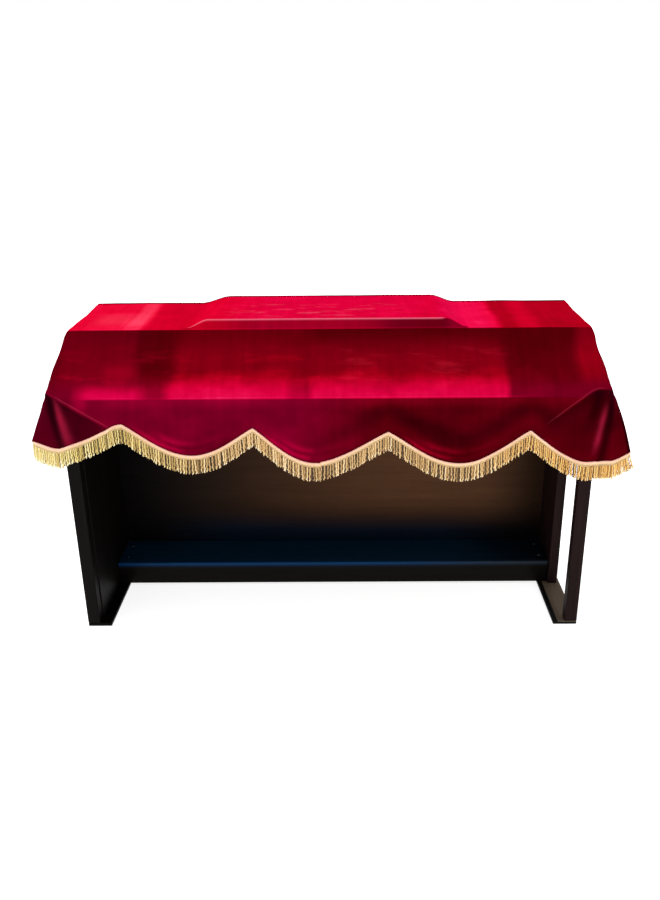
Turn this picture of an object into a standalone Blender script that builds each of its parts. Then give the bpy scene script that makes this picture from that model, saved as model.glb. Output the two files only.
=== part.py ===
# A velvet piano cover with a scalloped, fringed front hem, draped over a plain console piano.
# Metres, +Z up, +X to the piano's right-hand end as its player faces it, and the player's side at -Y.
# The origin is on the floor, under the middle of the whole object. The sizes below count Y from
# the plane of the front legs.

import math

import bpy
from mathutils import Vector

# From the plane of the front legs to the middle of the whole object
MIDDLE_Y = 0.2183

# Piano: overall form
CASE_HALF = 0.6835
CASE_BACK = 0.466
CASE_TOP = 0.8065
CASE_BOTTOM = 0.600
RIDGE_Y = 0.1669
LIP_Y = 0.0045
LIP_Z = 0.6700
CASE_BEVEL = 0.008
CASE_ROUND = 0.014
ROUND_STEPS = 5
SEAT = 0.0003

# Piano: folded music rest under the raised middle of the cloth
REST_HALF = 0.287
REST_FRONT = 0.187
REST_BACK = 0.458
REST_HEIGHT = 0.0235
REST_BEVEL = 0.004

# Piano: stand. The left side board runs forward to its leg, and the right one leaves a gap there
FOOT_IN = 0.618
FOOT_HEIGHT = 0.0095
FOOT_BACK = 0.452
LEG_WIDTH = 0.0335
LEG_DEPTH = 0.030
LEG_FRONT = 0.0050
BOARD_OUT = 0.6740
BOARD_THICK = 0.0270
BOARD_FRONT = {"left": 0.0353, "right": 0.2110}
BOARD_BACK = 0.4480
LOW_FRONT = 0.2220
LOW_TOP = 0.0790
PANEL_FRONT = 0.3620
PANEL_THICK = 0.0100
WOOD_BEVEL = 0.0015

# Cloth: cut size and the path of its inner face from the back edge to the front hem
CLOTH_THICK = 0.0020
CLOTH_HALF = 0.790
EDGE_HALF = 0.6850
BACK_Y = 0.4700
TOP_Z = 0.8070
FOLD_Y = 0.1667
LIP_INNER = (0.0020, 0.6712)
BEND = 0.0030
HANG_LEAN = 0.020
HEM_TURN = 0.0060

# Cloth: the raised middle, as its full half width at the back and at the front and where its
# slope ends, for each side
RAISE = 0.0240
RAISE_FRONT = 0.0130
RAISE_ENDS = {-1: (0.294, 0.318, 0.379), 1: (0.291, 0.310, 0.361)}

# Cloth: how far its stiff back hem stands up off the flat top beside the raised middle, and how
# far forward from the hem that reaches
BACK_LIFT = 0.0050
BACK_LIFT_RUN = 0.110

# Hem: the points of the scallops and the bottoms between them, as distance along X, drop below
# the front edge, how softly the bottom runs up to its points, and how pointed the bottom is
HEM = (
    ("low", -0.724, 0.137, 1.50, 0.0),
    ("peak", -0.5215, 0.073, 0.0, 0.0),
    ("low", -0.352, 0.155, 1.12, 0.0),
    ("peak", -0.194, 0.081, 0.0, 0.0),
    ("low", -0.045, 0.177, 1.12, 0.15),
    ("peak", 0.151, 0.093, 0.0, 0.0),
    ("low", 0.333, 0.180, 1.15, 0.0),
    ("peak", 0.508, 0.095, 0.0, 0.0),
    ("low", 0.690, 0.187, 1.10, 0.0),
)
END_RISE = 0.50

# Hem: how much lower it hangs than that curve where the loose right corner pulls it
HEM_PULL = (
    (0.600, 0.0000),
    (0.640, 0.0000),
    (0.665, -0.0065),
    (0.690, -0.0100),
    (0.715, -0.0055),
    (0.740, 0.0045),
    (0.765, 0.0080),
    (0.790, 0.0000),
)

# Side flaps: where the cut edge lies, and how far the cloth runs straight out before it turns
# down, a row for each flute and each hollow between them
FLAP_LEFT = (
    # path, out from the side, y, z, straight run
    (0.000, 0.016, 0.470, 0.7050, 0.008),
    (0.070, 0.030, 0.400, 0.7090, 0.010),
    (0.140, 0.012, 0.330, 0.7050, 0.008),
    (0.210, 0.028, 0.262, 0.7090, 0.010),
    (0.262, 0.010, 0.212, 0.7050, 0.010),
    (0.303, 0.034, 0.178, 0.7120, 0.012),
    (0.352, 0.008, 0.172, 0.6860, 0.024),
    (0.402, 0.038, 0.148, 0.6660, 0.034),
    (0.456, 0.012, 0.122, 0.6560, 0.048),
    (0.512, 0.050, 0.092, 0.6560, 0.040),
    (0.575, 0.076, 0.080, 0.5980, 0.036),
    (0.645, 0.0985, 0.060, 0.5360, 0.032),
)
FLAP_RIGHT = (
    # path, out from the side, y, z, straight run
    (0.000, 0.018, 0.470, 0.7050, 0.008),
    (0.060, 0.030, 0.410, 0.7090, 0.010),
    (0.120, 0.012, 0.350, 0.7050, 0.008),
    (0.190, 0.030, 0.280, 0.7100, 0.010),
    (0.250, 0.010, 0.222, 0.7050, 0.010),
    (0.303, 0.032, 0.175, 0.7120, 0.010),
    (0.350, 0.008, 0.174, 0.6870, 0.016),
    (0.405, 0.030, 0.145, 0.6670, 0.028),
    (0.455, 0.010, 0.118, 0.6560, 0.042),
    (0.510, 0.050, 0.090, 0.6520, 0.036),
    (0.560, 0.067, 0.075, 0.6150, 0.034),
    (0.610, 0.080, 0.055, 0.5750, 0.032),
    (0.696, 0.098, 0.030, 0.5060, 0.030),
)

# Corner folds of the front fall, as angle from straight down at the front corner towards the
# middle, in degrees, and how far forward of plumb the cloth stands there for each metre. Below
# them, the curl of each scallop towards the player, and the share of that reach that the hem
# rises by
CORNER_FOLDS = (
    (0.0, 0.020),
    (6.0, 0.070),
    (12.0, 0.125),
    (20.0, 0.100),
    (34.0, 0.060),
    (50.0, 0.105),
    (61.0, 0.165),
    (66.0, 0.150),
    (78.0, 0.065),
    (90.0, 0.000),
)
CORNER_FADE = (0.14, 0.30)
LOBE_CURL = 0.010
LOBE_START = 0.050
LOBE_FULL = 0.190
HEM_TAKE = 0.40

# Fringe: braid strip and its hanging strands
BRAID_HEIGHT = 0.0090
BRAID_THICK = 0.0020
BRAID_GAP = 0.0008
STRANDS = 240
STRAND_SHARE = 0.64
STRAND_LENGTH = 0.0380
STRAND_UNEVEN = 0.0030
UNEVEN_TURNS = (2.399, 0.731)
SWAY_FROM_END = 0.030
STRAND_SWAY = 0.0005
SWAY_TURN = 1.713
STRAND_DEPTH = 0.0026
STRAND_TIP = 0.0034

# Columns of the cloth's mesh: how far out the hem's own points set them, two more beside the outer
# points, and how wide a strip beside the raised middle's slopes has none
MARKED_HALF = 0.60
EXTRA_COLUMNS = (-0.5365, 0.527)
SLOPE_CLEAR = 0.012


def material(name, colour, roughness, metallic=0.0):
    made = bpy.data.materials.new(name)
    made.use_nodes = True
    shader = made.node_tree.nodes["Principled BSDF"]
    shader.inputs["Base Color"].default_value = (*colour, 1.0)
    shader.inputs["Roughness"].default_value = roughness
    shader.inputs["Metallic"].default_value = metallic
    return made


def mesh_object(name, points, faces, finish):
    mesh = bpy.data.meshes.new(name)
    mesh.from_pydata([(x, y - MIDDLE_Y, z) for x, y, z in points], [], faces)
    mesh.materials.append(finish)
    made = bpy.data.objects.new(name, mesh)
    bpy.context.collection.objects.link(made)
    return made


def bevelled(made, width, segments=1):
    bevel = made.modifiers.new("eased edges", "BEVEL")
    bevel.width = width
    bevel.segments = segments
    return made


def board(name, low, high, finish):
    """A straight board with eased edges, between two corners."""
    (x0, y0, z0), (x1, y1, z1) = low, high
    points = [(x, y, z) for z in (z0, z1) for y in (y0, y1) for x in (x0, x1)]
    faces = [(0, 2, 3, 1), (4, 5, 7, 6), (0, 1, 5, 4), (2, 6, 7, 3), (0, 4, 6, 2), (1, 3, 7, 5)]
    return bevelled(mesh_object(name, points, faces, finish), WOOD_BEVEL)


def eased(start, end, value):
    """0 before start, 1 after end, and a smooth step between them."""
    share = min(max((value - start) / (end - start), 0.0), 1.0)
    return share * share * (3.0 - 2.0 * share)


def along(rows, value):
    """Smooth values of a table's other columns where its first column reaches this value."""
    last = len(rows) - 1
    here = 0
    while here < last - 1 and rows[here + 1][0] < value:
        here += 1
    before, start, end, after = (rows[min(max(here + step, 0), last)] for step in (-1, 0, 1, 2))
    span = end[0] - start[0]
    share = min(max((value - start[0]) / span, 0.0), 1.0)
    found = []
    for column in range(1, len(start)):
        leave = (end[column] - before[column]) / (end[0] - before[0]) * span
        arrive = (after[column] - start[column]) / (after[0] - start[0]) * span
        rise = end[column] - start[column]
        found.append(
            start[column]
            + share * leave
            + share ** 2 * (3.0 * rise - 2.0 * leave - arrive)
            + share ** 3 * (leave + arrive - 2.0 * rise)
        )
    return found


# Lengths of the cloth's path over the top and down the sloping front
TOP_RUN = BACK_Y - FOLD_Y
SLOPE = Vector((LIP_INNER[0] - FOLD_Y, LIP_INNER[1] - TOP_Z))
LIP_RUN = TOP_RUN + SLOPE.length


def path_point(run):
    """Y and Z of the cloth's inner face at this distance from its back edge, corners sharp."""
    if run < TOP_RUN:
        return Vector((BACK_Y - run, TOP_Z))
    if run < LIP_RUN:
        return Vector((FOLD_Y, TOP_Z)) + SLOPE.normalized() * (run - TOP_RUN)
    drop = run - LIP_RUN
    return Vector(LIP_INNER) + Vector((-HANG_LEAN * drop, -drop))


def path(run):
    """The same, with its two folds rounded."""
    for corner in (TOP_RUN, LIP_RUN):
        if abs(run - corner) < BEND:
            share = (run - corner + BEND) / (2.0 * BEND)
            start, middle, end = (path_point(corner + step) for step in (-BEND, 0.0, BEND))
            return start * (1 - share) ** 2 + middle * 2 * share * (1 - share) + end * share ** 2
    return path_point(run)


def raised(x, run):
    """Height of the cloth above the top, over the folded music rest and at its back hem."""
    back, front, end = RAISE_ENDS[1 if x > 0 else -1]
    full = back + (front - back) * run / TOP_RUN
    across = 1.0 - eased(full, end, abs(x))
    lift = BACK_LIFT * (1.0 - across) * (1.0 - eased(0.0, BACK_LIFT_RUN, run))
    return RAISE * across * eased(0.0, RAISE_FRONT, TOP_RUN - run) + lift


def scallop(x):
    """Drop of the hem below the front edge, and how far this place is from point to bottom."""
    peak = min((mark for mark in HEM if mark[0] == "peak"), key=lambda mark: abs(mark[1] - x))
    side = 1 if x > peak[1] else -1
    lows = [mark for mark in HEM if mark[0] == "low" and (mark[1] - peak[1]) * side > 0]
    low = min(lows, key=lambda mark: abs(mark[1] - peak[1]))
    share = (x - peak[1]) / (low[1] - peak[1])
    if share > 1.0:
        share = 1.0 + (share - 1.0) * END_RISE
    depth = math.sin(0.5 * math.pi * share) ** low[3]
    depth += (share - depth) * low[4]
    pull = along(HEM_PULL, x)[0]
    return peak[2] + (low[2] - peak[2]) * depth + pull, depth


def forward(x, drop):
    """How far the front fall stands forward of plumb."""
    inward = EDGE_HALF - abs(x)
    angle = math.degrees(math.atan2(inward, drop))
    fold = along(CORNER_FOLDS, angle)[0] * math.hypot(inward, drop)
    fold *= 1.0 - eased(*CORNER_FADE, inward)
    middle = eased(*CORNER_FADE, inward)
    curl = LOBE_CURL * middle * scallop(x)[1] * eased(LOBE_START, LOBE_FULL, drop)
    return fold + curl


def over_piano(x, run):
    """The cloth's inner face between the piano's two ends."""
    y, z = path(run)
    if run < TOP_RUN:
        z += raised(x, run)
    if run > LIP_RUN:
        y -= forward(x, run - LIP_RUN)
    return Vector((x, y, z))


def cloth(across, run):
    """The cloth's inner face, from distances across the cut cloth and along it."""
    beyond = abs(across) - EDGE_HALF
    if beyond <= 0.0:
        return over_piano(across, run)
    side = 1.0 if across > 0 else -1.0
    out, y, z, straight = along(FLAP_RIGHT if side > 0 else FLAP_LEFT, run)
    start = over_piano(side * EDGE_HALF, run)
    step = 0.001
    tangent = (start - over_piano(side * (EDGE_HALF - step), run)) / step
    turn = start + tangent * straight
    end = Vector((side * (EDGE_HALF + out), y, z))
    middle = (turn + end) / 2.0
    share = beyond / (CLOTH_HALF - EDGE_HALF)
    rest = 1.0 - share
    return (
        start * rest ** 3
        + turn * 3 * rest ** 2 * share
        + middle * 3 * rest * share ** 2
        + end * share ** 3
    )


def hem_run(across):
    """Distance along the cut cloth of the line where the braid starts."""
    drop = scallop(across)[0]
    if abs(across) < EDGE_HALF:
        drop -= HEM_TAKE * forward(across, drop)
    return LIP_RUN + drop


def outward(across, run):
    """The cloth's outward normal."""
    step = 0.002
    wide = cloth(min(across + step, CLOTH_HALF), run) - cloth(max(across - step, -CLOTH_HALF), run)
    long = cloth(across, run + step) - cloth(across, max(run - step, 0.0))
    return long.cross(wide).normalized()


def columns():
    """Distances across the cloth of the mesh's columns, closer together at edges and folds."""
    flap = (0.004, 0.012, 0.022, 0.034, 0.047, 0.061, 0.076, 0.091, 0.105)
    corner = (0.0, 0.012, 0.024, 0.036, 0.050, 0.066, 0.084, 0.104, 0.126)
    inner = {-1: [], 1: []}
    for side in inner:
        inner[side] = [EDGE_HALF + step for step in flap] + [EDGE_HALF - step for step in corner]
    middle = []
    marks = [mark[1] for mark in HEM if abs(mark[1]) < MARKED_HALF]
    for start, end in zip(marks, marks[1:]):
        middle += [start + (end - start) * share for share in (0.0, 0.25, 0.5, 0.75)]
    middle += [marks[-1], *EXTRA_COLUMNS]
    for side, (back, front, end) in RAISE_ENDS.items():
        middle = [x for x in middle if not back - SLOPE_CLEAR < x * side < end + SLOPE_CLEAR]
        middle += [side * x for x in (back, front, (front + end) / 2.0, end)]
    return sorted([-x for x in inner[-1]] + middle + inner[1])


def rows(across):
    """Distances along the cloth of the mesh's rows, down to the hem at this place."""
    top = [0.0, 0.050, 0.100, 0.150, 0.200, 0.250, 0.278, TOP_RUN - RAISE_FRONT]
    slope = [TOP_RUN - BEND, TOP_RUN, TOP_RUN + BEND, 0.330, 0.355, 0.380, 0.405, 0.430, 0.456, 0.485]
    lip = [LIP_RUN - BEND, LIP_RUN, LIP_RUN + BEND]
    end = hem_run(across)
    fall = [lip[-1] + (end - lip[-1]) * share for share in (0.13, 0.28, 0.44, 0.60, 0.76, 0.90, 1.0)]
    return top + slope + lip + fall + [end + HEM_TURN]


def cover(finish):
    """The cloth as one closed sheet: inner face, outer face and the rim between them."""
    across = columns()
    inner = [[cloth(x, run) for run in rows(x)] for x in across]
    outer = [[cloth(x, run) + outward(x, run) * CLOTH_THICK for run in rows(x)] for x in across]
    wide, long = len(across), len(inner[0])
    points = [point for face in (inner, outer) for column in face for point in column]

    def at(layer, i, j):
        return layer * wide * long + i * long + j

    faces = []
    for i in range(wide - 1):
        for j in range(long - 1):
            faces.append((at(0, i, j), at(0, i + 1, j), at(0, i + 1, j + 1), at(0, i, j + 1)))
            faces.append((at(1, i, j), at(1, i, j + 1), at(1, i + 1, j + 1), at(1, i + 1, j)))
        faces.append((at(0, i, 0), at(1, i, 0), at(1, i + 1, 0), at(0, i + 1, 0)))
        end = long - 1
        faces.append((at(0, i, end), at(0, i + 1, end), at(1, i + 1, end), at(1, i, end)))
    for j in range(long - 1):
        faces.append((at(0, 0, j), at(0, 0, j + 1), at(1, 0, j + 1), at(1, 0, j)))
        end = wide - 1
        faces.append((at(0, end, j), at(1, end, j), at(1, end, j + 1), at(0, end, j + 1)))
    return mesh_object("cover", points, faces, finish)


def hem_line():
    """Outer face of the cloth along the hem: braid line, cloth edge and normal at each column."""
    line = []
    for x in columns():
        start, end = rows(x)[-2:]
        normal = outward(x, start)
        line.append((cloth(x, start) + normal * CLOTH_THICK, cloth(x, end) + normal * CLOTH_THICK, normal))
    return line


def on_hem(line, lengths, distance):
    """The same three vectors at this distance along the hem."""
    here = 0
    while here < len(lengths) - 2 and lengths[here + 1] < distance:
        here += 1
    share = (distance - lengths[here]) / (lengths[here + 1] - lengths[here])
    return [a.lerp(b, min(max(share, 0.0), 1.0)) for a, b in zip(line[here], line[here + 1])]


def fringe(finish):
    """The braid strip, with a strand drawn down from under it at each step along the hem."""
    line = hem_line()
    lengths = [0.0]
    for (start, _, _), (end, _, _) in zip(line, line[1:]):
        lengths.append(lengths[-1] + (end - start).length)
    pitch = lengths[-1] / (STRANDS - 1 + STRAND_SHARE)
    stations = []
    for strand in range(STRANDS):
        stations += [strand * pitch, (strand + STRAND_SHARE) * pitch]
    points = []
    for distance in stations:
        top, edge, normal = on_hem(line, lengths, distance)
        down = (edge - top).normalized() * BRAID_HEIGHT
        near, far = normal * BRAID_GAP, normal * (BRAID_GAP + BRAID_THICK)
        points += [top + far, top + near, top + near + down, top + far + down]
    faces = [(0, 1, 2, 3)]
    last = len(stations) - 1
    faces.append(tuple(4 * last + corner for corner in (3, 2, 1, 0)))
    for station in range(last):
        a, b = 4 * station, 4 * (station + 1)
        faces += [(a, b, b + 1, a + 1), (a + 1, b + 1, b + 2, a + 2), (a + 3, b + 3, b, a)]
        if station % 2 == 1:
            faces.append((a + 2, b + 2, b + 3, a + 3))
            continue
        strand = station // 2
        uneven = math.sin(strand * UNEVEN_TURNS[0]) * math.cos(strand * UNEVEN_TURNS[1])
        length = STRAND_LENGTH + STRAND_UNEVEN * uneven
        from_end = min(stations[station], lengths[-1] - stations[station + 1])
        sway = STRAND_SWAY * math.sin(strand * SWAY_TURN) * min(from_end / SWAY_FROM_END, 1.0)
        corners = [points[index] for index in (a + 2, b + 2, b + 3, a + 3)]
        middle = sum(corners, Vector()) / 4.0
        wide = (corners[1] - corners[0]) * Vector((1, 1, 0))
        wide = wide.normalized() * STRAND_TIP / 2.0
        deep = Vector((-wide.y, wide.x, 0.0)).normalized() * STRAND_DEPTH / 2.0
        tip = middle + Vector((sway, 0.0, -length))
        first = len(points)
        points += [tip - wide + deep, tip + wide + deep, tip + wide - deep, tip - wide - deep]
        root = (a + 2, b + 2, b + 3, a + 3)
        for side in range(4):
            after = (side + 1) % 4
            faces.append((root[side], root[after], first + after, first + side))
        faces.append((first, first + 1, first + 2, first + 3))
    return mesh_object("fringe", points, faces, finish)


def case(finish):
    """The piano's body: flat top, sloping front over the keys, upright lip and flat underside."""
    corners = [
        Vector((CASE_BACK, CASE_BOTTOM)),
        Vector((CASE_BACK, CASE_TOP)),
        Vector((RIDGE_Y, CASE_TOP)),
        Vector((LIP_Y, LIP_Z)),
        Vector((LIP_Y, CASE_BOTTOM)),
    ]
    section = corners[:2]
    for before, corner, after in zip(corners[1:], corners[2:4], corners[3:]):
        start = corner + (before - corner).normalized() * CASE_ROUND
        end = corner + (after - corner).normalized() * CASE_ROUND
        for step in range(ROUND_STEPS + 1):
            share = step / ROUND_STEPS
            section.append(start.lerp(corner, share).lerp(corner.lerp(end, share), share))
    section.append(corners[4])
    count = len(section)
    points = [(x, y, z) for x in (-CASE_HALF, CASE_HALF) for y, z in section]
    faces = [tuple(range(count - 1, -1, -1)), tuple(range(count, 2 * count))]
    for start in range(count):
        end = (start + 1) % count
        faces.append((start, end, end + count, start + count))
    return bevelled(mesh_object("case", points, faces, finish), CASE_BEVEL, 2)


def music_rest(finish):
    """The folded music rest that lies on the top, under the cloth."""
    low = (-REST_HALF, REST_FRONT, CASE_TOP + SEAT)
    high = (REST_HALF, REST_BACK, CASE_TOP + REST_HEIGHT)
    rest = board("music_rest", low, high, finish)
    rest.modifiers["eased edges"].width = REST_BEVEL
    rest.modifiers["eased edges"].segments = 2
    return rest


def stand(finish):
    """Feet, front legs and side boards at both ends, and the two boards between them."""
    under = CASE_BOTTOM - SEAT
    on_foot = FOOT_HEIGHT + SEAT
    for name, side in (("left", -1), ("right", 1)):

        def span(inner, outer):
            return min(side * inner, side * outer), max(side * inner, side * outer)

        x0, x1 = span(FOOT_IN, CASE_HALF)
        board(f"foot_{name}", (x0, LEG_FRONT, 0.0), (x1, FOOT_BACK, FOOT_HEIGHT), finish)
        x0, x1 = span(CASE_HALF - LEG_WIDTH, CASE_HALF)
        leg_back = LEG_FRONT + LEG_DEPTH
        board(f"leg_{name}", (x0, LEG_FRONT, on_foot), (x1, leg_back, under), finish)
        x0, x1 = span(BOARD_OUT - BOARD_THICK, BOARD_OUT)
        board(f"side_board_{name}", (x0, BOARD_FRONT[name], on_foot), (x1, BOARD_BACK, under), finish)
    half = BOARD_OUT - BOARD_THICK - SEAT
    panel_back = PANEL_FRONT + PANEL_THICK
    board("low_board", (-half, LOW_FRONT, on_foot), (half, panel_back, LOW_TOP), finish)
    board("back_panel", (-half, PANEL_FRONT, LOW_TOP + SEAT), (half, panel_back, under), finish)


for old in list(bpy.data.objects):
    bpy.data.objects.remove(old)

velvet = material("crimson velvet", (0.42, 0.004, 0.022), 0.75)
gold = material("gold thread", (0.72, 0.50, 0.16), 0.45, 0.3)
walnut = material("dark stained wood", (0.018, 0.010, 0.008), 0.35)

case(walnut)
music_rest(walnut)
stand(walnut)
cover(velvet)
fringe(gold)
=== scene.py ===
import math
import random

import bpy
from mathutils import Matrix, Vector, noise


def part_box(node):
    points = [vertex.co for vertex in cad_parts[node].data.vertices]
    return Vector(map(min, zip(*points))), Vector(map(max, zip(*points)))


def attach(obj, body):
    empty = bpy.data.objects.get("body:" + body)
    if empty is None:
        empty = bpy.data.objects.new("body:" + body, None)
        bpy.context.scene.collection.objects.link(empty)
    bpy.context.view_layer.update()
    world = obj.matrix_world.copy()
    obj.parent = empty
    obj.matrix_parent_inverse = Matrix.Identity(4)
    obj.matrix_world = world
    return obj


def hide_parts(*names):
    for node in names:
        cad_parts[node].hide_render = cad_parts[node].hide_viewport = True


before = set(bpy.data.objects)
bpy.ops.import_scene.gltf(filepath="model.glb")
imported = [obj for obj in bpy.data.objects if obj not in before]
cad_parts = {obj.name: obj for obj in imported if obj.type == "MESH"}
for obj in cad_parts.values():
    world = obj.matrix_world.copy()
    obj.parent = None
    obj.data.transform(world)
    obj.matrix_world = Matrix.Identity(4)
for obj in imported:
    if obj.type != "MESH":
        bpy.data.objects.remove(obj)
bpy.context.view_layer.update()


# Camera: a little above the cover, square on to the player's side, with the photograph's lens.
CAMERA_PLACE = Vector((0.0532, -2.2659, 1.3549))
CAMERA_DOWN, CAMERA_TURN, CAMERA_ROLL = 21.916, -0.4996, -0.5348
PHOTO_HEIGHT_PX, LENS_PX, CENTRE_SHIFT_PX = 900, 859.687, 12.97
SENSOR_MM = 36.0

down, turn, roll = (math.radians(angle) for angle in (CAMERA_DOWN, CAMERA_TURN, CAMERA_ROLL))
ahead = Vector((math.sin(turn) * math.cos(down), math.cos(turn) * math.cos(down), -math.sin(down)))
level = Vector((math.cos(turn), -math.sin(turn), 0.0))
above = level.cross(ahead)
wide_axis = math.cos(roll) * level + math.sin(roll) * above
tall_axis = math.cos(roll) * above - math.sin(roll) * level
camera_data = bpy.data.cameras.new("view")
camera_data.sensor_width = SENSOR_MM
camera_data.lens = LENS_PX * SENSOR_MM / PHOTO_HEIGHT_PX
camera_data.shift_x = -CENTRE_SHIFT_PX / PHOTO_HEIGHT_PX
camera_data.clip_end = 100.0
camera = bpy.data.objects.new("view", camera_data)
camera.matrix_world = Matrix.Translation(CAMERA_PLACE) @ Matrix((
    (wide_axis.x, tall_axis.x, -ahead.x),
    (wide_axis.y, tall_axis.y, -ahead.y),
    (wide_axis.z, tall_axis.z, -ahead.z),
)).to_4x4()
bpy.context.collection.objects.link(camera)
bpy.context.scene.camera = camera


# Cover: one sheet of crimson velvet, 1.58 m wide, cut straight at the back and in scallops at the
# front. It lies on the piano's top and over the folded music rest, runs down the sloping front,
# turns over its lower edge and hangs. Its corners, past the piano's ends, stand out as wings.
MIDDLE_Y = 0.2183
CLOTH_HALF, EDGE_HALF = 0.790, 0.6850
BACK_Y, TOP_Z, FOLD_Y = 0.4700, 0.8070, 0.1667
LIP_INNER = (0.0020, 0.6712)
BEND, HANG_LEAN, HEM_TURN = 0.0030, 0.020, 0.0060
CLOTH_THICK = 0.0020
RAISE, RAISE_FRONT = 0.0240, 0.0130
RAISE_ENDS = {-1: (0.294, 0.318, 0.379), 1: (0.291, 0.310, 0.361)}
BACK_LIFT, BACK_LIFT_RUN = 0.0050, 0.110  # the back hem stands up beside the raised middle
HEM = (
    # kind, along X, drop below the front edge, softness, how pointed
    ("low", -0.724, 0.137, 1.50, 0.0),
    ("peak", -0.5215, 0.073, 0.0, 0.0),
    ("low", -0.352, 0.155, 1.12, 0.0),
    ("peak", -0.194, 0.081, 0.0, 0.0),
    ("low", -0.045, 0.177, 1.12, 0.15),
    ("peak", 0.151, 0.093, 0.0, 0.0),
    ("low", 0.333, 0.180, 1.15, 0.0),
    ("peak", 0.508, 0.095, 0.0, 0.0),
    ("low", 0.690, 0.187, 1.10, 0.0),
)
END_RISE = 0.50
HEM_PULL = (
    # along X, how much lower the loose right corner pulls the hem
    (0.600, 0.0000),
    (0.640, 0.0000),
    (0.665, -0.0065),
    (0.690, -0.0100),
    (0.715, -0.0055),
    (0.740, 0.0045),
    (0.765, 0.0080),
    (0.790, 0.0000),
)
FLAP_LEFT = (
    # path, out from the side, y, z, straight run
    (0.000, 0.016, 0.470, 0.7050, 0.008),
    (0.070, 0.030, 0.400, 0.7090, 0.010),
    (0.140, 0.012, 0.330, 0.7050, 0.008),
    (0.210, 0.028, 0.262, 0.7090, 0.010),
    (0.262, 0.010, 0.212, 0.7050, 0.010),
    (0.303, 0.034, 0.178, 0.7120, 0.012),
    (0.352, 0.008, 0.172, 0.6860, 0.024),
    (0.402, 0.038, 0.148, 0.6660, 0.034),
    (0.456, 0.012, 0.122, 0.6560, 0.048),
    (0.512, 0.050, 0.092, 0.6560, 0.040),
    (0.575, 0.076, 0.080, 0.5980, 0.036),
    (0.645, 0.0985, 0.060, 0.5360, 0.032),
)
FLAP_RIGHT = (
    # path, out from the side, y, z, straight run
    (0.000, 0.018, 0.470, 0.7050, 0.008),
    (0.060, 0.030, 0.410, 0.7090, 0.010),
    (0.120, 0.012, 0.350, 0.7050, 0.008),
    (0.190, 0.030, 0.280, 0.7100, 0.010),
    (0.250, 0.010, 0.222, 0.7050, 0.010),
    (0.303, 0.032, 0.175, 0.7120, 0.010),
    (0.350, 0.008, 0.174, 0.6870, 0.016),
    (0.405, 0.030, 0.145, 0.6670, 0.028),
    (0.455, 0.010, 0.118, 0.6560, 0.042),
    (0.510, 0.050, 0.090, 0.6520, 0.036),
    (0.560, 0.067, 0.075, 0.6150, 0.034),
    (0.610, 0.080, 0.055, 0.5750, 0.032),
    (0.696, 0.098, 0.030, 0.5060, 0.030),
)
CORNER_FOLDS = (
    # angle from straight down at the front corner, how far forward for each metre
    (0.0, 0.020),
    (6.0, 0.070),
    (12.0, 0.125),
    (20.0, 0.100),
    (34.0, 0.060),
    (50.0, 0.105),
    (61.0, 0.165),
    (66.0, 0.150),
    (78.0, 0.065),
    (90.0, 0.000),
)
CORNER_FADE = (0.14, 0.30)
LOBE_CURL, LOBE_START, LOBE_FULL = 0.010, 0.050, 0.190
HEM_TAKE = 0.40

# Small creases that the solid leaves out. Each fades past both ends by a share of its length, and
# is full from a share inside them
CREASES = (
    # across and path of one end, the same of the other, half width, height
    (-0.618, 0.214, -0.535, 0.010, 0.030, 0.0016),
    (-0.493, 0.270, -0.478, 0.018, 0.018, 0.0012),
    (0.568, 0.296, 0.500, 0.020, 0.030, 0.0014),
    (-0.300, 0.240, -0.120, 0.180, 0.014, 0.0010),
    (0.139, 0.149, 0.293, 0.275, 0.010, 0.0010),
    (0.060, 0.262, 0.250, 0.248, 0.008, 0.0010),
    (-0.457, 0.600, -0.340, 0.660, 0.016, 0.0035),
    (-0.130, 0.600, 0.000, 0.680, 0.018, 0.0035),
    (0.232, 0.622, 0.380, 0.686, 0.018, 0.0030),
    (-0.600, 0.540, -0.520, 0.570, 0.012, 0.0025),
    (-0.380, 0.560, -0.240, 0.540, 0.030, 0.0020),
    (0.480, 0.640, 0.600, 0.690, 0.018, 0.0030),
    (-0.700, 0.507, -0.560, 0.580, 0.006, 0.0030),
    (0.690, 0.492, 0.545, 0.584, 0.006, 0.0030),
    (-0.500, 0.575, -0.470, 0.600, 0.006, 0.0018),
)
CREASE_PAST, CREASE_INSIDE = 0.40, 0.25

# Ripples for each metre, across and along, their height on the boards and where the cloth hangs.
# They die out beside the two folds
RIPPLES, FINE_RIPPLES, FINE_SHARE = (9.0, 11.7), (31.0, 38.0), 0.18
RIPPLE_HEIGHT, HANG_RIPPLE, FOLD_CALM = 0.0010, 0.0022, 0.012
HANG_FROM_LIP, HANG_FROM_END = 0.05, 0.03
CORNER_SOFT, CORNER_SOFT_FROM = 0.010, (0.650, 0.720)


def eased(start, end, value):
    """0 before start, 1 after end, and a smooth step between them."""
    share = min(max((value - start) / (end - start), 0.0), 1.0)
    return share * share * (3.0 - 2.0 * share)


def along(rows, value):
    """Smooth values of a table's other columns where its first column reaches this value."""
    last = len(rows) - 1
    here = 0
    while here < last - 1 and rows[here + 1][0] < value:
        here += 1
    before, start, end, after = (rows[min(max(here + step, 0), last)] for step in (-1, 0, 1, 2))
    span = end[0] - start[0]
    share = min(max((value - start[0]) / span, 0.0), 1.0)
    found = []
    for column in range(1, len(start)):
        leave = (end[column] - before[column]) / (end[0] - before[0]) * span
        arrive = (after[column] - start[column]) / (after[0] - start[0]) * span
        rise = end[column] - start[column]
        found.append(
            start[column]
            + share * leave
            + share ** 2 * (3.0 * rise - 2.0 * leave - arrive)
            + share ** 3 * (leave + arrive - 2.0 * rise)
        )
    return found


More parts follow.
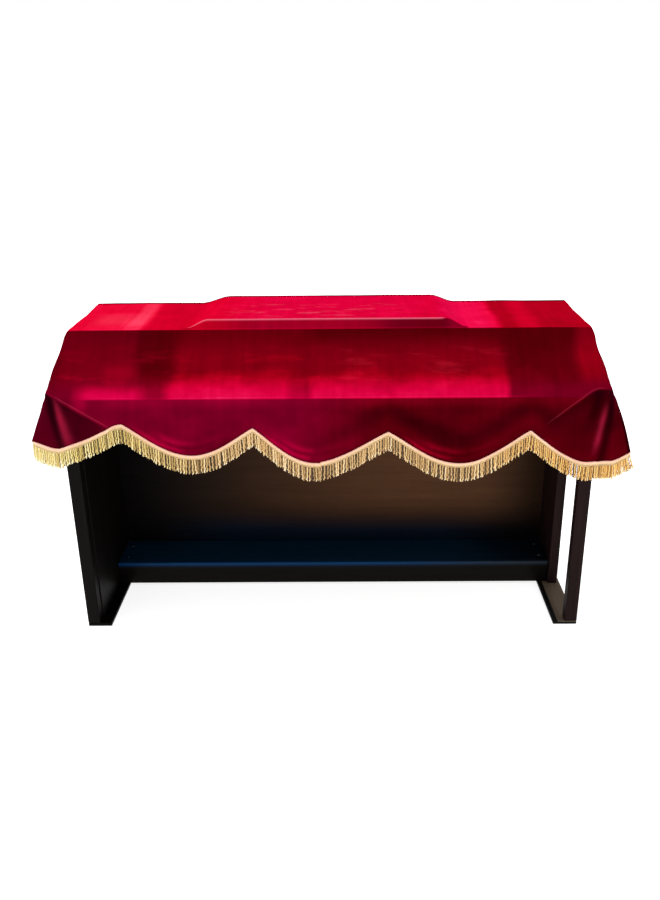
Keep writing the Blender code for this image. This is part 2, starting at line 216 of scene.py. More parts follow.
TOP_RUN = BACK_Y - FOLD_Y
SLOPE = Vector((LIP_INNER[0] - FOLD_Y, LIP_INNER[1] - TOP_Z))
LIP_RUN = TOP_RUN + SLOPE.length


def path_point(run):
    """Y and Z of the cloth's inner face at this distance from its back edge, corners sharp."""
    if run < TOP_RUN:
        return Vector((BACK_Y - run, TOP_Z))
    if run < LIP_RUN:
        return Vector((FOLD_Y, TOP_Z)) + SLOPE.normalized() * (run - TOP_RUN)
    drop = run - LIP_RUN
    return Vector(LIP_INNER) + Vector((-HANG_LEAN * drop, -drop))


def path(run):
    """The same, with its two folds rounded."""
    for corner in (TOP_RUN, LIP_RUN):
        if abs(run - corner) < BEND:
            share = (run - corner + BEND) / (2.0 * BEND)
            start, middle, end = (path_point(corner + step) for step in (-BEND, 0.0, BEND))
            return start * (1 - share) ** 2 + middle * 2 * share * (1 - share) + end * share ** 2
    return path_point(run)


def raised(x, run):
    """Height of the cloth above the top, over the folded music rest and at its back hem."""
    back, front, end = RAISE_ENDS[1 if x > 0 else -1]
    full = back + (front - back) * run / TOP_RUN
    across = 1.0 - eased(full, end, abs(x))
    lift = BACK_LIFT * (1.0 - across) * (1.0 - eased(0.0, BACK_LIFT_RUN, run))
    return RAISE * across * eased(0.0, RAISE_FRONT, TOP_RUN - run) + lift


def scallop(x):
    """Drop of the hem below the front edge, and how far this place is from point to bottom."""
    peak = min((mark for mark in HEM if mark[0] == "peak"), key=lambda mark: abs(mark[1] - x))
    side = 1 if x > peak[1] else -1
    lows = [mark for mark in HEM if mark[0] == "low" and (mark[1] - peak[1]) * side > 0]
    low = min(lows, key=lambda mark: abs(mark[1] - peak[1]))
    share = (x - peak[1]) / (low[1] - peak[1])
    if share > 1.0:
        share = 1.0 + (share - 1.0) * END_RISE
    depth = math.sin(0.5 * math.pi * share) ** low[3]
    depth += (share - depth) * low[4]
    pull = along(HEM_PULL, x)[0]
    return peak[2] + (low[2] - peak[2]) * depth + pull, depth


def forward(x, drop):
    """How far the front fall stands forward of plumb."""
    inward = EDGE_HALF - abs(x)
    angle = math.degrees(math.atan2(inward, drop))
    fold = along(CORNER_FOLDS, angle)[0] * math.hypot(inward, drop)
    fold *= 1.0 - eased(*CORNER_FADE, inward)
    middle = eased(*CORNER_FADE, inward)
    curl = LOBE_CURL * middle * scallop(x)[1] * eased(LOBE_START, LOBE_FULL, drop)
    return fold + curl


def over_piano(x, run):
    """The cloth's inner face between the piano's two ends."""
    y, z = path(run)
    if run < TOP_RUN:
        z += raised(x, run)
    if run > LIP_RUN:
        y -= forward(x, run - LIP_RUN)
    return Vector((x, y - MIDDLE_Y, z))


def cloth(across, run):
    """The cloth's inner face, from distances across the cut cloth and along it."""
    beyond = abs(across) - EDGE_HALF
    if beyond <= 0.0:
        return over_piano(across, run)
    side = 1.0 if across > 0 else -1.0
    out, y, z, straight = along(FLAP_RIGHT if side > 0 else FLAP_LEFT, run)
    start = over_piano(side * EDGE_HALF, run)
    step = 0.001
    tangent = (start - over_piano(side * (EDGE_HALF - step), run)) / step
    turn_point = start + tangent * straight
    end = Vector((side * (EDGE_HALF + out), y - MIDDLE_Y, z))
    middle = (turn_point + end) / 2.0
    share = beyond / (CLOTH_HALF - EDGE_HALF)
    rest = 1.0 - share
    return (
        start * rest ** 3
        + turn_point * 3 * rest ** 2 * share
        + middle * 3 * rest * share ** 2
        + end * share ** 3
    )


def hem_run(across):
    """Distance along the cut cloth of the line where the braid starts."""
    drop = scallop(across)[0]
    if abs(across) < EDGE_HALF:
        drop -= HEM_TAKE * forward(across, drop)
    return LIP_RUN + drop


def outward(across, run):
    """The cloth's outward normal."""
    step = 0.002
    wide = cloth(min(across + step, CLOTH_HALF), run) - cloth(max(across - step, -CLOTH_HALF), run)
    long = cloth(across, run + step) - cloth(across, max(run - step, 0.0))
    return long.cross(wide).normalized()


def creased(across, run):
    """How far small creases and ripples lift the cloth from its main form."""
    lift = 0.0
    for x0, run0, x1, run1, half, height in CREASES:
        line = Vector((x1 - x0, run1 - run0))
        offset = Vector((across - x0, run - run0))
        share = offset.dot(line) / line.length_squared
        if -CREASE_PAST < share < 1.0 + CREASE_PAST:
            off = abs(line.x * offset.y - line.y * offset.x) / line.length
            begun = eased(-CREASE_PAST, CREASE_INSIDE, share)
            ended = eased(1.0 - CREASE_INSIDE, 1.0 + CREASE_PAST, share)
            lift += height * begun * (1.0 - ended) * math.exp(-((off / half) ** 2))
    hanging = max(
        eased(LIP_RUN, LIP_RUN + HANG_FROM_LIP, run),
        eased(EDGE_HALF, EDGE_HALF + HANG_FROM_END, abs(across)),
    )
    ripple = noise.noise(Vector((across * RIPPLES[0], run * RIPPLES[1], 4.0)))
    fine = noise.noise(Vector((across * FINE_RIPPLES[0], run * FINE_RIPPLES[1], 9.0)))
    calm = sum(math.exp(-((run - fold) / FOLD_CALM) ** 2) for fold in (TOP_RUN, LIP_RUN))
    size = (RIPPLE_HEIGHT + HANG_RIPPLE * hanging) * max(1.0 - calm, 0.0)
    return lift + size * (0.5 + 0.5 * ripple + FINE_SHARE * fine)


def surface(across, run):
    """The sheet's inner face with its creases, and with softer folds past the piano's ends."""
    soft = CORNER_SOFT * eased(*CORNER_SOFT_FROM, abs(across))
    beside = cloth(across, max(run - soft, 0.0)) + cloth(across, run + soft)
    spot = 0.5 * cloth(across, run) + 0.25 * beside
    return spot + outward(across, run) * creased(across, run)


def spread(start, end, step, keep=()):
    """Evenly spaced values from start to end, with these ones among them."""
    marks = [start, *[mark for mark in sorted(keep) if start < mark < end], end]
    values = [start]
    for low, high in zip(marks, marks[1:]):
        count = max(1, round((high - low) / step))
        values += [low + (high - low) * part / count for part in range(1, count + 1)]
    return values


def grid_piece(name, columns, uv_names=("cloth",)):
    """A mesh from columns of (point, u, v), a column for each step across, with its UV maps."""
    wide, long = len(columns), len(columns[0])
    mesh = bpy.data.meshes.new(name)
    faces = []
    for i in range(wide - 1):
        for j in range(long - 1):
            a = i * long + j
            faces.append((a, a + 1, a + long + 1, a + long))
    mesh.from_pydata([spot[0] for column in columns for spot in column], [], faces)
    spots = [spot[1:] for column in columns for spot in column]
    for place, uv_name in enumerate(uv_names):
        layer = mesh.uv_layers.new(name=uv_name)
        for loop in mesh.loops:
            layer.data[loop.index].uv = spots[loop.vertex_index][2 * place:2 * place + 2]
    mesh.shade_smooth()
    piece = bpy.data.objects.new(name, mesh)
    bpy.context.collection.objects.link(piece)
    return piece


SHEET_COLUMN, SHEET_ROW, BACK_HEM_ROW = 0.0068, 0.0072, 0.006
FALL_ROWS, FLANK_STEP = 24, 0.020
across_steps = spread(-CLOTH_HALF, CLOTH_HALF, SHEET_COLUMN, [
    *[mark[1] for mark in HEM],
    *[side * x for side, ends in RAISE_ENDS.items() for x in ends],
    -EDGE_HALF, EDGE_HALF,
])
above_fall = spread(0.0, LIP_RUN + BEND, SHEET_ROW, [
    BACK_HEM_ROW, TOP_RUN - RAISE_FRONT,
    TOP_RUN - BEND, TOP_RUN, TOP_RUN + BEND,
    LIP_RUN - BEND, LIP_RUN,
])
sheet_columns = []
for across in across_steps:
    hem = hem_run(across)
    start = above_fall[-1]
    runs = above_fall + [start + (hem - start) * row / FALL_ROWS for row in range(1, FALL_ROWS + 1)]
    runs.append(hem + HEM_TURN)
    depth = scallop(across)[1]
    fall_ahead = scallop(across + FLANK_STEP)[0] - scallop(across - FLANK_STEP)[0]
    steepness = fall_ahead / (2.0 * FLANK_STEP)
    sheet_columns.append([
        (surface(across, run), across, run, hem - run, depth, steepness, 0.0)
        for run in runs
    ])
cover = grid_piece("velvet_cover", sheet_columns, ("cloth", "hem", "flank"))
thickness = cover.modifiers.new("cloth thickness", "SOLIDIFY")
thickness.thickness = CLOTH_THICK
thickness.offset = 1.0


class Shade:
    """One value in a material's nodes. Arithmetic on it adds Math nodes to the material."""

    def __init__(self, tree, socket=None):
        self.tree = tree
        self.socket = socket

    def node(self, kind, settings=None, values=None, output=0):
        """Adds a node with these settings and socket values, and gives one of its outputs."""
        made = self.tree.nodes.new(kind)
        for name, value in (settings or {}).items():
            if name == "stops":
                ramp = made.color_ramp
                while len(ramp.elements) < len(value):
                    ramp.elements.new(0.5)
                for element, (place, colour) in zip(ramp.elements, value):
                    element.position = place
                    element.color = (*colour, 1.0)
            else:
                setattr(made, name, value)
        for name, value in (values or {}).items():
            if isinstance(value, Shade):
                self.tree.links.new(value.socket, made.inputs[name])
            else:
                made.inputs[name].default_value = value
        return Shade(self.tree, made.outputs[output])

    def maths(self, operation, *others):
        values = dict(enumerate((self, *others)))
        return self.node("ShaderNodeMath", {"operation": operation}, values)

    def __add__(self, other):
        return self.maths("ADD", other)

    __radd__ = __add__

    def __sub__(self, other):
        return self.maths("SUBTRACT", other)

    def __rsub__(self, other):
        return self.node("ShaderNodeMath", {"operation": "SUBTRACT"}, {0: other, 1: self})

    def __mul__(self, other):
        return self.maths("MULTIPLY", other)

    __rmul__ = __mul__

    def __truediv__(self, other):
        return self.maths("DIVIDE", other)

    def rise(self, start, end):
        """0 before start, 1 after end, and a smooth step between them."""
        values = {"Value": self, "From Min": start, "From Max": end, "To Min": 0.0, "To Max": 1.0}
        return self.node("ShaderNodeMapRange", {"interpolation_type": "SMOOTHSTEP"}, values)

    def band(self, start, end, soft):
        """1 between start and end, fading to 0 over soft on both sides."""
        return self.rise(start - soft, start + soft) * (1 - self.rise(end - soft, end + soft))

    def line(self, centre, half):
        """A soft line where the value is centre."""
        off = (self - centre) / half
        return (0 - off * off).maths("EXPONENT")

    def axis(self, name):
        """The X, Y or Z part of a vector."""
        return self.node("ShaderNodeSeparateXYZ", {}, {0: self}, name)

    def scaled(self, x, y, z=1.0):
        """A vector with its three parts stretched."""
        return self.node("ShaderNodeVectorMath", {"operation": "MULTIPLY"}, {0: self, 1: (x, y, z)})

    def noise(self, scale, detail=3.0, rough=0.5):
        """Smooth noise from 0 to 1 over a vector."""
        values = {"Vector": self, "Scale": scale, "Detail": detail, "Roughness": rough}
        return self.node("ShaderNodeTexNoise", {}, values)

    def ramp(self, *stops):
        """The value as a colour, from these stops."""
        return self.node("ShaderNodeValToRGB", {"stops": stops}, {0: self})

    def mix(self, first, second):
        """The first colour where the value is 0 and the second where it is 1."""
        return self.node("ShaderNodeMix", {"data_type": "RGBA"}, {0: self, 6: first, 7: second}, 2)

    def feed(self, socket):
        self.tree.links.new(self.socket, socket)

    def bump(self, shader, strength, distance):
        values = {"Height": self, "Strength": strength, "Distance": distance}
        self.node("ShaderNodeBump", {}, values).feed(shader.inputs["Normal"])


def finish_of(name, constants):
    """A new material, its shader with these constant values set, and the start of its nodes."""
    material = bpy.data.materials.new(name)
    material.use_nodes = True
    shader = material.node_tree.nodes["Principled BSDF"]
    for socket, value in constants.items():
        shader.inputs[socket].default_value = value
    return material, shader, Shade(material.node_tree)


def on_cloth(start, name="cloth"):
    """The two lengths that a piece's UV map holds, and both together as a vector."""
    both = start.node("ShaderNodeUVMap", {"uv_map": name})
    return both.axis("X"), both.axis("Y"), both


# The velvet's colour carries painted light and shade: its tone is set face by face and in bands for how
# light falls on the top, the slope, the fall and the wings
velvet, velvet_shader, start = finish_of("crimson velvet", {
    "Roughness": 0.85,
    "Specular IOR Level": 0.0,
    "Sheen Weight": 0.08,
    "Sheen Roughness": 0.35,
    "Sheen Tint": (1.0, 0.02, 0.10, 1.0),
})
flat_x, run, flat = on_cloth(start)
above_hem, scallop_depth, _ = on_cloth(start, "hem")
steepness = on_cloth(start, "flank")[0]
wobble = flat.scaled(3.0, 4.0).noise(2.0) - 0.5
x = flat_x + wobble * 0.05
uneven = flat.scaled(9.0, 13.0).noise(1.0, 5.0, 0.6) - 0.5
patches = flat.scaled(5.0, 11.0).noise(1.0, 2.0, 0.5) - 0.5
stroked = flat.scaled(60.0, 6.0).noise(1.0, 3.0) - 0.5
pile = flat.noise(900.0, 2.0)
slope_share = (run - TOP_RUN) / (LIP_RUN - TOP_RUN)
below_lip = run - LIP_RUN
reach = flat_x.maths("ABSOLUTE")

# The flat top is painted bright for the light that falls on it, with paler strokes from back to
# front, and the band in front of the music rest is painted darker, as shade
top_tone = (
    0.70
    + 0.06 * (1 - x.rise(-0.56, -0.50))
    + 0.14 * flat_x.band(-0.538, -0.492, 0.012)
    + 0.09 * x.band(-0.640, -0.500, 0.03) * run.rise(0.10, 0.22)
    - 0.08 * x.band(-0.485, -0.36, 0.02)
    + 0.10 * x.band(0.310, 0.450, 0.015)
    - 0.24 * x.band(0.450, 0.90, 0.015)
    + 0.14 * x.band(0.505, 0.560, 0.02)
)
rest_front = TOP_RUN - RAISE_FRONT
in_front = run.rise(rest_front, rest_front + 0.002) * flat_x.band(-0.385, 0.365, 0.004)
top_tone = top_tone - in_front * (0.12 + 0.16 * x.rise(-0.36, -0.18) + 0.18 * x.rise(0.08, 0.20))

# The slope is painted dark, as shade, under the upper fold and painted lighter towards the lower one, in
# upright bands, with lighter patches
slope_upper = (
    0.17
    + 0.05 * x.band(-0.720, -0.500, 0.02)
    + 0.05 * x.band(-0.400, -0.060, 0.04)
    + 0.12 * x.band(0.640, 0.720, 0.02)
)
slope_middle = (
    0.19
    + 0.09 * x.band(-0.690, -0.500, 0.025)
    + 0.13 * x.band(-0.400, 0.448, 0.02)
    + 0.12 * flat_x.band(-0.575, -0.490, 0.02) * slope_share.rise(0.40, 0.70)
    - 0.03 * x.band(-0.088, -0.048, 0.015)
    + 0.17 * x.band(0.640, 0.710, 0.02)
)
slope_low = (
    0.27
    + 0.44 * flat_x.band(-0.632, -0.478, 0.03) * slope_share.rise(0.72, 0.98)
    + 0.10 * x.band(-0.487, -0.409, 0.02)
    + 0.50 * x.band(-0.409, -0.091, 0.02)
    + 0.26 * x.band(-0.086, -0.050, 0.015)
    + 0.48 * x.band(-0.046, 0.450, 0.012)
    + 0.05 * x.band(0.450, 0.560, 0.03)
)
ragged = slope_share + 0.30 * uneven
upper_share = slope_share.rise(0.0, 0.50)
lower_share = ragged.rise(0.56, 0.98)
slope_tone = (slope_upper * (1 - upper_share) + slope_middle * upper_share) * (1 - lower_share)
lighter_patches = flat.scaled(8.0, 34.0).noise(1.0, 4.0, 0.6).rise(0.50, 0.74)
lighter_patches = lighter_patches * slope_share.band(0.30, 0.85, 0.15)
slope_tone = slope_tone + slope_low * lower_share + 0.085 * lighter_patches * (1 - x.rise(0.42, 0.50))

# The fall below it is painted dark, a little lighter to the left and under the fold. Over the hem runs a
# painted shadow line, and over that a painted highlight on the curl on the left flank of each scallop
fall_left = 1 - x.rise(-0.12, 0.16)
left_flank = steepness.rise(0.05, 0.30) * scallop_depth.rise(0.15, 0.55)
curl_height = above_hem + uneven * 0.02
fall_tone = (
    0.180
    + 0.09 * fall_left
    + 0.07 * (1 - below_lip.rise(0.005, 0.035))
    + 0.06 * curl_height.line(0.026, 0.014) * scallop_depth.rise(0.3, 0.9)
    + 0.15 * curl_height.line(0.013, 0.0055) * left_flank * reach.maths("LESS_THAN", 0.60)
    + 0.09 * curl_height.line(0.034, 0.0065) * steepness.rise(-0.15, 0.15) * scallop_depth.rise(0.6, 0.9)
    - 0.05 * curl_height.line(0.023, 0.0045) * scallop_depth.rise(0.6, 0.9)
    - 0.05 * above_hem.band(0.045, 0.090, 0.02) * (1 - fall_left)
    - 0.09 * (1 - above_hem.rise(0.002, 0.009))
)
calm = reach.rise(0.600, 0.640) * (1 - below_lip.rise(0.0, 0.05))
fall_tone = fall_tone * (1 - calm) + slope_low * calm


# The wings past the piano's ends are painted dark, with painted highlight streaks along their folds,
# painted shade beside these and a painted highlight along the slanting crease
def wing_edge(start_x, steep, highest):
    """1 on the wing's side of the slanting crease that runs in and down from this corner."""
    slant = (start_x - reach) * steep
    past = below_lip - slant.maths("SMOOTH_MAX", highest, 0.016)
    return past.rise(-0.001, 0.006), past.line(-0.002, 0.0014)


left_side = 1 - flat_x.rise(-0.01, 0.01)
left_wing, left_crease = wing_edge(0.682, 0.52, -0.028)
right_wing, right_crease = wing_edge(0.645, 0.67, -0.020)
wing = (left_wing * left_side + right_wing * (1 - left_side)) * reach.rise(0.500, 0.590)
crease = (left_crease * left_side + right_crease * (1 - left_side)) * reach.band(0.555, 0.690, 0.02)
left_streak = flat_x - 0.22 * below_lip
right_streak = flat_x + 0.20 * below_lip
streaks = (
    left_streak.line(-0.688, 0.007 + 0.07 * below_lip) * below_lip.band(0.005, 0.115, 0.025)
    + right_streak.line(0.704, 0.010) * below_lip.band(0.035, 0.135, 0.03)
)
beside = (
    left_streak.line(-0.711, 0.015)
    + right_streak.line(0.731, 0.017)
    + 0.6 * right_streak.line(0.676, 0.012) * (1 - below_lip.rise(0.03, 0.10))
)
wing_tone = 0.12 + 0.05 * below_lip.rise(0.03, 0.13) + 0.19 * streaks - 0.08 * beside

past_fold = run.rise(TOP_RUN - 0.002, TOP_RUN + 0.004)
past_lip = run.rise(LIP_RUN - 0.001, LIP_RUN + 0.004)
tone = (top_tone * (1 - past_fold) + slope_tone * past_fold) * (1 - past_lip) + fall_tone * past_lip
tone = tone * (1 - wing) + wing_tone * wing + 0.07 * crease
tone = tone * (1 + 0.42 * uneven + 0.25 * stroked + (0.15 + 0.75 * past_lip) * patches)
# Painted highlight lines along the upper and lower folds and along the cut edges of the top, painted
# shade along the right cut edge below it, and a fine pile
tone = tone + (
    0.10 * run.line(TOP_RUN - 0.001, 0.0016)
    + 0.10 * run.line(LIP_RUN - 0.001, 0.0018) * x.band(-0.60, 0.50, 0.04)
    + 0.12 * reach.rise(0.783, 0.787) * (1 - past_fold)
    - 0.10 * reach.rise(0.776, 0.786) * past_fold * (1 - left_side)
    + (pile - 0.5) * 0.04
)
# Painted shade along the back hem
tone = tone * (0.30 + 0.70 * run.rise(0.012, 0.017))
coolness = (
    0.75 * slope_share.rise(0.65, 1.0) * (1 - past_lip)
    + 0.60 * x.band(0.300, 0.440, 0.03) * (1 - past_fold)
    + 0.20 * (1 - x.rise(-0.52, -0.42)) * past_fold * (1 - past_lip)
    + 0.45 * x.band(-0.25, 0.30, 0.10) * (1 - past_fold)
    + (0.25 + 0.75 * fall_left) * past_lip
    + 0.60 * streaks * wing
) + 0.25 * uneven
warm = tone.ramp(
    (0.04, (0.010, 0.000, 0.001)),
    (0.10, (0.030, 0.000, 0.001)),
    (0.18, (0.085, 0.000, 0.002)),
    (0.30, (0.185, 0.000, 0.005)),
    (0.45, (0.350, 0.000, 0.008)),
    (0.70, (0.620, 0.000, 0.020)),
    (0.85, (0.760, 0.004, 0.040)),
    (1.00, (0.840, 0.030, 0.090)),
)
cool = tone.ramp(
    (0.04, (0.010, 0.000, 0.002)),
    (0.10, (0.028, 0.000, 0.003)),
    (0.18, (0.080, 0.000, 0.007)),
    (0.30, (0.180, 0.000, 0.016)),
    (0.45, (0.340, 0.000, 0.028)),
    (0.70, (0.600, 0.000, 0.052)),
    (0.85, (0.750, 0.004, 0.075)),
    (1.00, (0.820, 0.030, 0.150)),
)

# Pale places: a painted highlight along the music rest's front edge and along the creases, and pale
# streaks on the raised top
wear_and_pale_streaks = flat.scaled(10.0, 30.0).noise(1.0, 5.0, 0.65).rise(0.50, 0.76)
pale = (
    0.62 * run.line(rest_front + 0.0004, 0.0011) * flat_x.band(-0.372, 0.300, 0.008)
    + 0.30 * wear_and_pale_streaks * x.band(-0.26, 0.18, 0.05) * run.band(0.12, rest_front - 0.024, 0.02)
    + 0.10 * flat_x.band(-0.538, -0.500, 0.012) * run.band(0.03, 0.26, 0.03)
    + 0.07 * x.band(-0.640, -0.500, 0.03) * run.band(0.14, 0.25, 0.04)
    + 0.02 * lighter_patches * x.band(0.02, 0.42, 0.06)
    + 0.05 * crease
    + 0.03 * streaks * wing
)
pale.mix(coolness.mix(warm, cool), (0.900, 0.190, 0.290, 1.0)).feed(velvet_shader.inputs["Base Color"])
(pile + 0.5 * uneven).bump(velvet_shader, 0.20, 0.0006)
cover.data.materials.append(velvet)
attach(cover, "root")
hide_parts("cover")


# Fringe, its heading: a woven gold braid, sewn along the scalloped front hem from one cut edge to
# the other, with a raised cord along both its edges.
BRAID_HEIGHT, BRAID_LAP, BRAID_STEP, HEM_STEP = 0.0125, 0.0035, 0.0011, 0.004
BRAID_TWIST, TWIST_SLANT, TWIST_RELIEF = 0.0036, 0.9, 0.16
BRAID_FLAT = 0.001  # the profile's points nearer to the cloth than this aren't twisted
BRAID_PROFILE = (
    # share of the height down from the top, how far out from the cloth
    (0.00, 0.0003),
    (0.00, 0.0016),
    (0.08, 0.0027),
    (0.18, 0.0027),
    (0.26, 0.0017),
    (0.42, 0.0015),
    (0.64, 0.0015),
    (0.78, 0.0022),
    (0.90, 0.0026),
    (1.00, 0.0018),
    (1.00, 0.0003),
)
hem_line = []
for across in spread(-CLOTH_HALF, CLOTH_HALF, HEM_STEP, [mark[1] for mark in HEM]):
    start_run = hem_run(across)
    normal = outward(across, start_run)
    tops = [
        cloth(across, at_run) + outward(across, at_run) * (creased(across, at_run) + CLOTH_THICK)
        for at_run in (start_run, start_run + HEM_TURN)
    ]
    hem_line.append((tops[0], (tops[1] - tops[0]).normalized(), normal))
hem_lengths = [0.0]
for (before, _, _), (after, _, _) in zip(hem_line, hem_line[1:]):
    hem_lengths.append(hem_lengths[-1] + (after - before).length)


def on_hem(distance):
    """Braid's top line, direction down the cloth and outward normal, this far along the hem."""
    here = 0
    while here < len(hem_lengths) - 2 and hem_lengths[here + 1] < distance:
        here += 1
    share = (distance - hem_lengths[here]) / (hem_lengths[here + 1] - hem_lengths[here])
    share = min(max(share, 0.0), 1.0)
    return [a.lerp(b, share) for a, b in zip(hem_line[here], hem_line[here + 1])]


braid_columns = []
for distance in spread(0.0, hem_lengths[-1], BRAID_STEP):
    top, down_cloth, normal = on_hem(distance)
    column = []
    for share, out in BRAID_PROFILE:
        twist = math.sin(2.0 * math.pi * (distance / BRAID_TWIST + TWIST_SLANT * share))
        lift = out * (1.0 + TWIST_RELIEF * twist) if out > BRAID_FLAT else out
        spot = top + down_cloth * (BRAID_HEIGHT * share - BRAID_LAP) + normal * lift
        column.append((spot, distance, share * BRAID_HEIGHT))
    column.append(column[0])
    braid_columns.append(column)
braid = grid_piece("gold_braid", braid_columns)

gold_braid, braid_shader, start = finish_of("gold braid", {
    "Roughness": 0.55,
    "Specular IOR Level": 0.4,
    "Sheen Weight": 0.2,
})
length, height, woven = on_cloth(start)
THREAD_PITCH, HATCH_PITCH = (0.0012, 0.0022), (0.0034, 0.0060)  # along the braid and down it
thread_slant, hatch_slant = (
    (length / along_braid + height / down_braid).maths("FRACT")
    for along_braid, down_braid in (THREAD_PITCH, HATCH_PITCH)
)
threads = thread_slant.band(0.15, 0.85, 0.15)
shade = threads * 0.40 + woven.noise(260.0) * 0.40 + woven.noise(9.0) * 0.25
weave = shade.ramp(
    (0.15, (0.520, 0.270, 0.090)),
    (0.40, (0.900, 0.560, 0.260)),
    (0.80, (1.000, 0.740, 0.430)),
)
cord = shade.ramp(
    (0.15, (0.720, 0.300, 0.200)),
    (0.40, (1.000, 0.450, 0.320)),
    (0.80, (1.000, 0.600, 0.460)),
)
share = height / BRAID_HEIGHT
frayed = share + 0.25 * (woven.scaled(180.0, 60.0).noise(1.0) - 0.5)
hatched = frayed.rise(0.55, 0.80) * (1 - hatch_slant.band(0.10, 0.60, 0.15))
knotted = (0.75 * hatched).mix(weave, (0.230, 0.120, 0.035, 1.0))
share.rise(0.26, 0.44).mix(cord, knotted).feed(braid_shader.inputs["Base Color"])
threads.bump(braid_shader, 0.5, 0.0004)
braid.data.materials.append(gold_braid)
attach(braid, "root")
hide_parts("fringe")


# Fringe, its strands: twisted gold cords that hang from under the braid in three rows. The front
# row is thick and bright, with darker cords in its gaps and a close dark row behind, painted dark as the
# shade between the strands.
CORD_TURN, CORD_LENGTH, CORD_ROOT = 0.0105, 0.0395, 0.0078
CORD_LAYERS = (
    # pitch, width, depth, shift, sides, rows; from the cloth, shorter, lean, wave, darkest, lightest
    (0.0036, 0.0038, 0.0030, 0.0000, 4, 10, 0.0000, 0.0030, 0.0003, 0.0000, 0.00, 0.24),
    (0.0076, 0.0038, 0.0026, 0.0038, 4, 20, 0.0010, 0.0012, 0.0022, 0.0010, 0.05, 0.62),
    (0.0076, 0.0044, 0.0032, 0.0000, 6, 26, 0.0020, 0.0000, 0.0024, 0.0012, 0.46, 1.00),
)
WAVE_LENGTH, LENGTH_SPREAD, SPACING_SPREAD = 0.0150, 0.0016, 0.20
STAND_OUT, BOW_TURN, TIP_FROM, TIP_NARROWS = (0.0002, 0.0012), 0.8, 0.92, 0.30
SIGHT_STEP = 0.002

# At the right corner the strands splay outwards, at the left one they hang longer, and past both
# ends of the piano they are painted lighter, as painted light falling through them
FLARE_FROM, FLARE_TO, FLARE = 0.735, 0.775, 0.0110
LOOSE_END, LOOSE_LONGER = -0.690, 0.0040
LIT_FROM, LIT_TONE, END_FADE = 0.690, 0.45, 0.02
chance = random.Random(7)
cord_points, cord_faces, cord_spots = [], [], []
for layer in CORD_LAYERS:
    pitch, wide_cord, deep_cord, shift, sides, cord_rows = layer[:6]
    off, shorter, lean_most, wave, dark, light = layer[6:]
    cord_count = int((hem_lengths[-1] - wide_cord - shift) / pitch) + 1
    for index in range(cord_count):
        uneven_place = index + chance.uniform(-SPACING_SPREAD, SPACING_SPREAD)
        distance = max(wide_cord / 2 + shift + uneven_place * pitch, wide_cord / 2)
        top, down_cloth, normal = on_hem(distance)
        ahead_top = on_hem(min(distance + SIGHT_STEP, hem_lengths[-1]))[0]
        tangent = ahead_top - on_hem(max(distance - SIGHT_STEP, 0.0))[0]
        tangent = Vector((tangent.x, tangent.y, 0.0)).normalized()
        facing = Vector((tangent.y, -tangent.x, 0.0))
        root = top + down_cloth * CORD_ROOT + normal * off
        length_here = CORD_LENGTH - shorter + chance.uniform(-LENGTH_SPREAD, LENGTH_SPREAD)
        length_here += LOOSE_LONGER * (1.0 - eased(LOOSE_END, LOOSE_END + END_FADE, top.x))
        lean = chance.uniform(-lean_most, lean_most)
        lean += FLARE * eased(FLARE_FROM, FLARE_TO, top.x)
        turned = chance.uniform(0.0, 2.0 * math.pi)
        cord_tone = dark + (light - dark) * chance.random()
        # Painted light on the strands past the piano's ends
        lit = LIT_TONE * eased(LIT_FROM, LIT_FROM + END_FADE, abs(top.x))
        cord_tone += lit * (1.0 - cord_tone)
        stand = chance.uniform(*STAND_OUT)
        first = len(cord_points)
        for row in range(cord_rows):
            share = row / (cord_rows - 1)
            fall = share * length_here
            sideways = lean * eased(0.0, 1.0, share)
            sideways += wave * share * math.sin(turned + 2.0 * math.pi * fall / WAVE_LENGTH)
            middle = root + tangent * sideways
            middle += facing * stand * math.sin(math.pi * share * BOW_TURN)
            middle.z -= fall
            angle = turned + 2.0 * math.pi * fall / CORD_TURN
            swell = 1.0 - TIP_NARROWS * eased(TIP_FROM, 1.0, share)
            for corner in range(sides):
                around = 2.0 * math.pi * corner / sides
                wide = math.cos(around) * wide_cord / 2 * swell
                thin = math.sin(around) * deep_cord / 2 * swell
                side_way = wide * math.cos(angle) - thin * math.sin(angle)
                front_way = wide * math.sin(angle) + thin * math.cos(angle)
                cord_points.append(middle + tangent * side_way + facing * front_way)
                cord_spots.append((cord_tone, fall + corner * CORD_TURN / sides))
        for row in range(cord_rows - 1):
            for corner in range(sides):
                a = first + row * sides + corner
                b = first + row * sides + (corner + 1) % sides
                cord_faces.append((a, a + sides, b + sides, b))
        end = first + (cord_rows - 1) * sides
        cord_faces.append(tuple(first + corner for corner in range(sides)))
        cord_faces.append(tuple(end + corner for corner in reversed(range(sides))))
cord_mesh = bpy.data.meshes.new("gold_strands")
cord_mesh.from_pydata(cord_points, [], cord_faces)
cord_layer = cord_mesh.uv_layers.new(name="cloth")
for loop in cord_mesh.loops:
    cord_layer.data[loop.index].uv = cord_spots[loop.vertex_index]
cord_mesh.shade_smooth()
strands = bpy.data.objects.new("gold_strands", cord_mesh)
bpy.context.collection.objects.link(strands)

gold_cord, cord_shader, start = finish_of("twisted gold cord", {
    "Roughness": 0.42,
    "Specular IOR Level": 0.5,
    "Sheen Weight": 0.1,
})
cord_tone, fallen, cord_flat = on_cloth(start)
